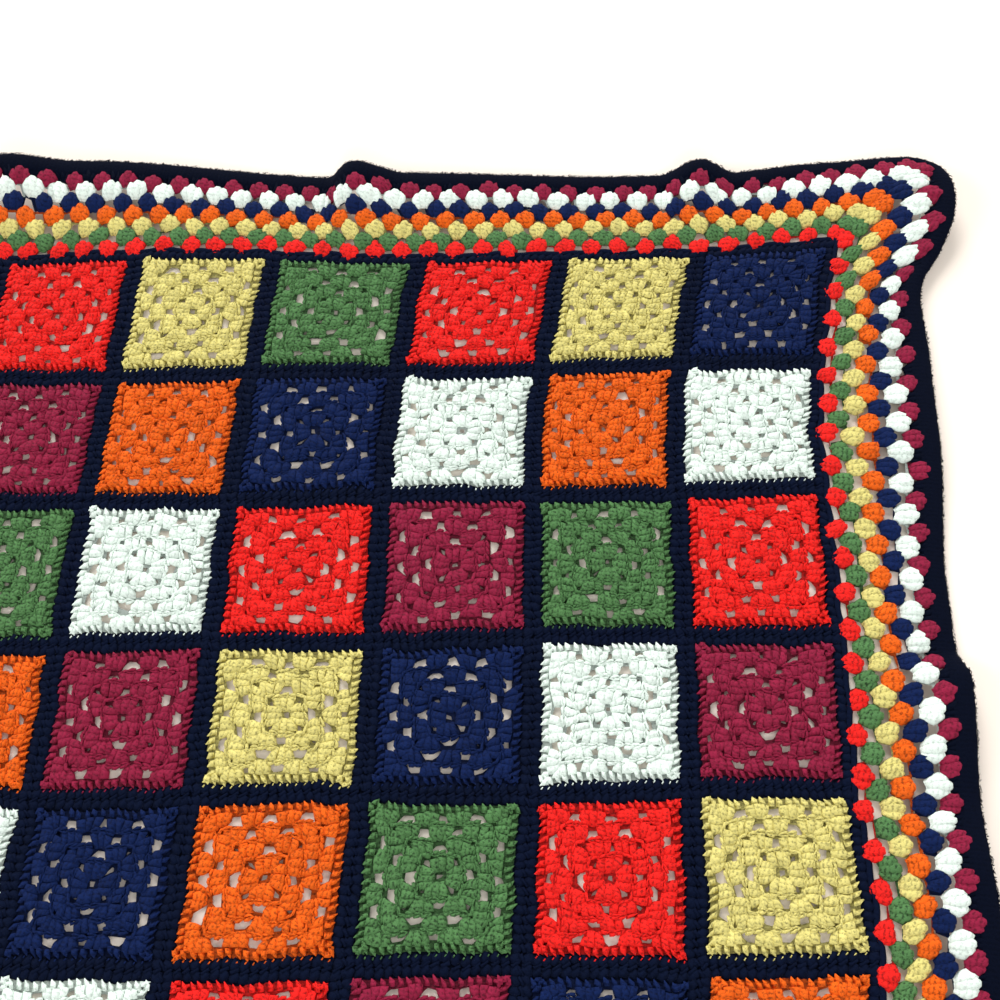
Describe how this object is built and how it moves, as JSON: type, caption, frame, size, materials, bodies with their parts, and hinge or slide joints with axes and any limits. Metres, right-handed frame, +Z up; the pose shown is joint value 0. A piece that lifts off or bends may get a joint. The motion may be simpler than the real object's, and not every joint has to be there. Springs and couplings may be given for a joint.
{
  "type": "granny square blanket",
  "caption": "Lap-size crocheted blanket of joined granny squares, laid out flat, with a striped cluster border that stands up in soft ruffles and a dark edging.",
  "frame": {"origin": "on the surface it rests on, under the middle of the blanket's box", "axes": "+Y along the columns of squares towards the far edge, +X to the right, +Z up"},
  "size_m": [1.0388, 1.275, 0.0259],
  "materials": {
    "square_yarn": "matt crocheted acrylic yarn, seven colours",
    "border_yarn": "matt crocheted acrylic yarn, a colour for each round",
    "dark_yarn": "matt crocheted acrylic yarn, near-black navy"
  },
  "bodies": {
    "root": {"panel": "square_yarn", "granny_border": "border_yarn", "dark_edging": "dark_yarn"}
  },
  "joints": []
}
